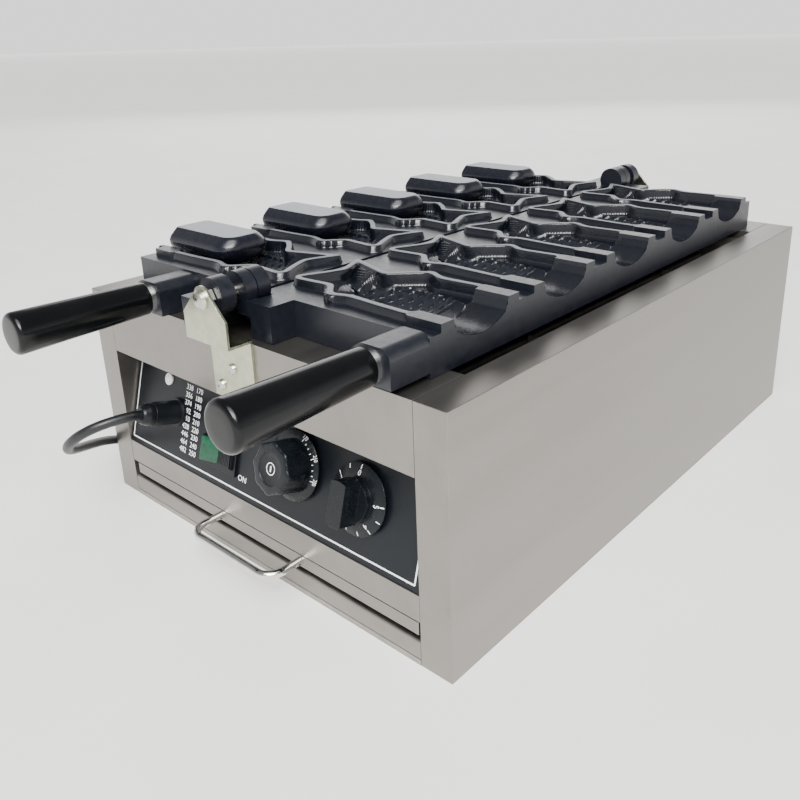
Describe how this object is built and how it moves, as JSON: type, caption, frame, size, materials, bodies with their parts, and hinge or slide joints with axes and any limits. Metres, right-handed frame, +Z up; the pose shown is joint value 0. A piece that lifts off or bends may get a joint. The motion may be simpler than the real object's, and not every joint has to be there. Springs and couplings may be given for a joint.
{
  "type": "taiyaki maker",
  "caption": "Countertop open-mouth taiyaki maker: folded steel case with a sloping control panel, a crumb drawer and two hinged fish-mould plates lying open like a book.",
  "frame": {"origin": "on the surface the machine stands on, under the middle of case, brackets and handles", "axes": "+X to the right seen from the front, +Y to the back along the hinge axis, +Z up; the controls face -Y"},
  "size_m": [0.5345, 0.6984, 0.2392],
  "materials": {
    "stainless_steel": "satin stainless sheet",
    "inner_steel": "plain plated sheet",
    "black_panel": "satin black printed panel",
    "nonstick_casting": "cast, black speckled non-stick coating",
    "grip_bakelite": "polished black phenolic",
    "zinc_plate": "bright zinc plated",
    "heater_sheath": "heat-tinted heater sheath",
    "copper": "drawn copper",
    "white_plastic": "natural moulded plastic",
    "black_plastic": "moulded black plastic",
    "lamp_lens": "milky lens",
    "cord_jacket": "flexible black jacket",
    "bright_wire": "chromed wire",
    "green_lens": "translucent green lens beside ribbed black plastic"
  },
  "bodies": {
    "case": {"base_pan": "inner_steel", "left_side_panel": "stainless_steel", "right_side_panel": "stainless_steel", "front_upper_panel": "stainless_steel", "control_panel": "black_panel", "lower_front_strip": "stainless_steel", "base_front_rail": "stainless_steel", "rear_panel": "stainless_steel", "heat_shield": "inner_steel", "control_bulkhead": "inner_steel", "left_heating_element": "heater_sheath", "right_heating_element": "heater_sheath", "element_supports": "inner_steel", "thermostat_body": "inner_steel", "thermostat_bulb": "copper", "timer_body": "white_plastic", "switch_body": "black_plastic", "indicator_lamp": "lamp_lens", "terminal_block": "white_plastic", "cable_gland": "black_plastic", "gland_nut": "black_plastic", "gland_locknut": "black_plastic", "tray_runners": "inner_steel", "front_hinge_bracket": "zinc_plate", "rear_hinge_bracket": "zinc_plate", "bracket_screws": "zinc_plate", "front_pivot_bolt": "zinc_plate", "rear_pivot_bolt": "zinc_plate", "pivot_nuts": "zinc_plate", "power_cord": "cord_jacket", "cord_coil": "cord_jacket", "plug": "cord_jacket"},
    "left_half": {"left_plate": "nonstick_casting", "mouth_plugs": "nonstick_casting", "plug_screws": "zinc_plate", "left_handle_rod": "zinc_plate", "left_handle_ferrule": "zinc_plate", "left_handle_grip": "grip_bakelite"},
    "right_half": {"right_plate": "nonstick_casting", "right_handle_rod": "zinc_plate", "right_handle_ferrule": "zinc_plate", "right_handle_grip": "grip_bakelite"},
    "drawer": {"crumb_tray": "stainless_steel", "tray_handle": "bright_wire"},
    "temperature_control": {"temperature_dial": "black_plastic", "temperature_knob": "black_plastic", "temperature_cap": "black_plastic", "thermostat_shaft": "zinc_plate"},
    "timer_control": {"timer_knob": "black_plastic", "timer_shaft": "zinc_plate"},
    "switch_rocker": {"rocker": "green_lens"}
  },
  "joints": [
    {"name": "left_half_hinge", "type": "hinge", "parent": "case", "child": "left_half", "pos_m": [0, 0, 0.2255], "axis": [0, 1, 0], "range_deg": [0, 180]},
    {"name": "right_half_hinge", "type": "hinge", "parent": "case", "child": "right_half", "pos_m": [0, 0, 0.2255], "axis": [0, -1, 0], "range_deg": [0, 180]},
    {"name": "drawer_slide", "type": "slide", "parent": "case", "child": "drawer", "axis": [0, -1, 0], "range_m": [0, 0.4]},
    {"name": "temperature_turn", "type": "hinge", "parent": "case", "child": "temperature_control", "pos_m": [0.045, -0.22575, 0.09947], "axis": [0, -0.9624, 0.2717], "range_deg": [-120, 150]},
    {"name": "timer_turn", "type": "hinge", "parent": "case", "child": "timer_control", "pos_m": [0.112, -0.22643, 0.09706], "axis": [0, 0.9624, -0.2717], "range_deg": [0, 275]},
    {"name": "rocker_tilt", "type": "hinge", "parent": "case", "child": "switch_rocker", "pos_m": [-0.043, -0.23037, 0.08311], "axis": [0, -0.2717, -0.9624], "range_deg": [0, 20]}
  ]
}
